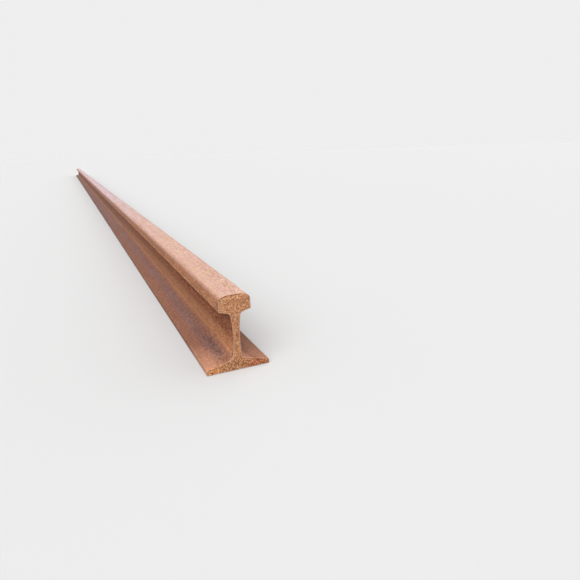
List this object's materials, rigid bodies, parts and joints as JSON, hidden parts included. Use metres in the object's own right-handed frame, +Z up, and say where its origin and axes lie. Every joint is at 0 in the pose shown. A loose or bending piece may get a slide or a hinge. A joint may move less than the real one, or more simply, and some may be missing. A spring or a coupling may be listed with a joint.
{
  "type": "steel rail",
  "caption": "Straight flat-bottom steel rail: crowned head, thin hollow-sided web and wide sloping foot, sawn square at the ends and rusted all over.",
  "frame": {"origin": "underside of the foot, at mid length and on the middle of the section", "axes": "+X along the rail, +Y across the foot, +Z up from the foot to the head"},
  "size_m": [11.8872, 0.1396, 0.1682],
  "materials": {
    "rusted_steel": "rusted and pitted, dull"
  },
  "bodies": {
    "root": {"rail": "rusted_steel"}
  },
  "joints": []
}
